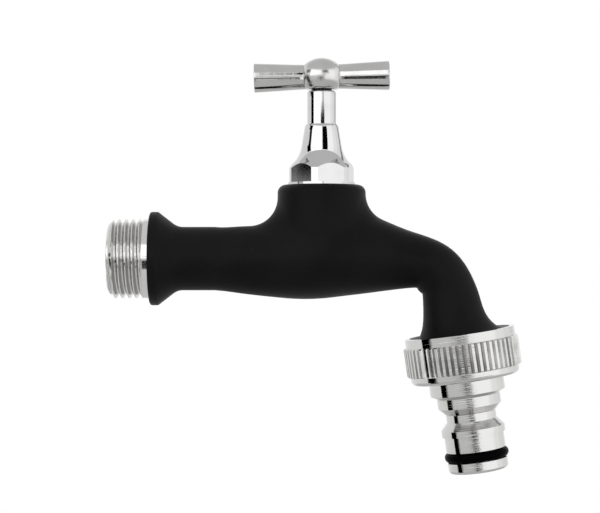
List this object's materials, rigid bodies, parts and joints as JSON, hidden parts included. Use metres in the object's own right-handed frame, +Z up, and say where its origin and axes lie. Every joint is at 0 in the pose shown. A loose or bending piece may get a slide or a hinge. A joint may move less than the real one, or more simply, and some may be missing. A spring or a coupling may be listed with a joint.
{
  "type": "garden tap",
  "caption": "Wall garden tap with a black cast body, chrome screw-down bonnet, T-bar handle and a screwed-on metal hose connector with a plug-in nose.",
  "frame": {"origin": "where the inlet axis meets the wall face of the flange", "axes": "+X away from the wall along the inlet axis, +Z up along the spindle, +Y completes the right-handed frame; the tap is as it hangs on a wall, with the valve closed"},
  "size_m": [0.1085, 0.0302, 0.1094],
  "materials": {
    "black_coating": "satin",
    "chrome_plate": "polished",
    "handle_plate": "satin",
    "nickel_plate": "polished",
    "brass": "turned",
    "steel": "satin",
    "rubber": "gloss"
  },
  "bodies": {
    "tap_body": {"body": "black_coating", "bonnet": "chrome_plate", "bonnet_gasket": "rubber", "hose_connector": "nickel_plate", "connector_washer": "rubber", "connector_o_ring": "rubber"},
    "jumper_group": {"jumper": "brass", "tap_washer": "rubber", "washer_nut": "brass"},
    "spindle_group": {"spindle": "brass", "spindle_o_ring_lower": "rubber", "spindle_o_ring_upper": "rubber", "handle": "handle_plate", "handle_grub_screw": "steel"}
  },
  "joints": [
    {"name": "valve_lift", "type": "slide", "parent": "tap_body", "child": "jumper_group", "axis": [0, 0, 1], "range_m": [0, 0.005]},
    {"name": "handle_turn", "type": "hinge", "parent": "jumper_group", "child": "spindle_group", "pos_m": [0.0451, 0, 0.0478], "axis": [0, 0, 1], "range_deg": [0, 900]}
  ],
  "couplings": [
    {"joint": "handle_turn", "follows": "valve_lift", "rad_per_m": 3141.6}
  ]
}
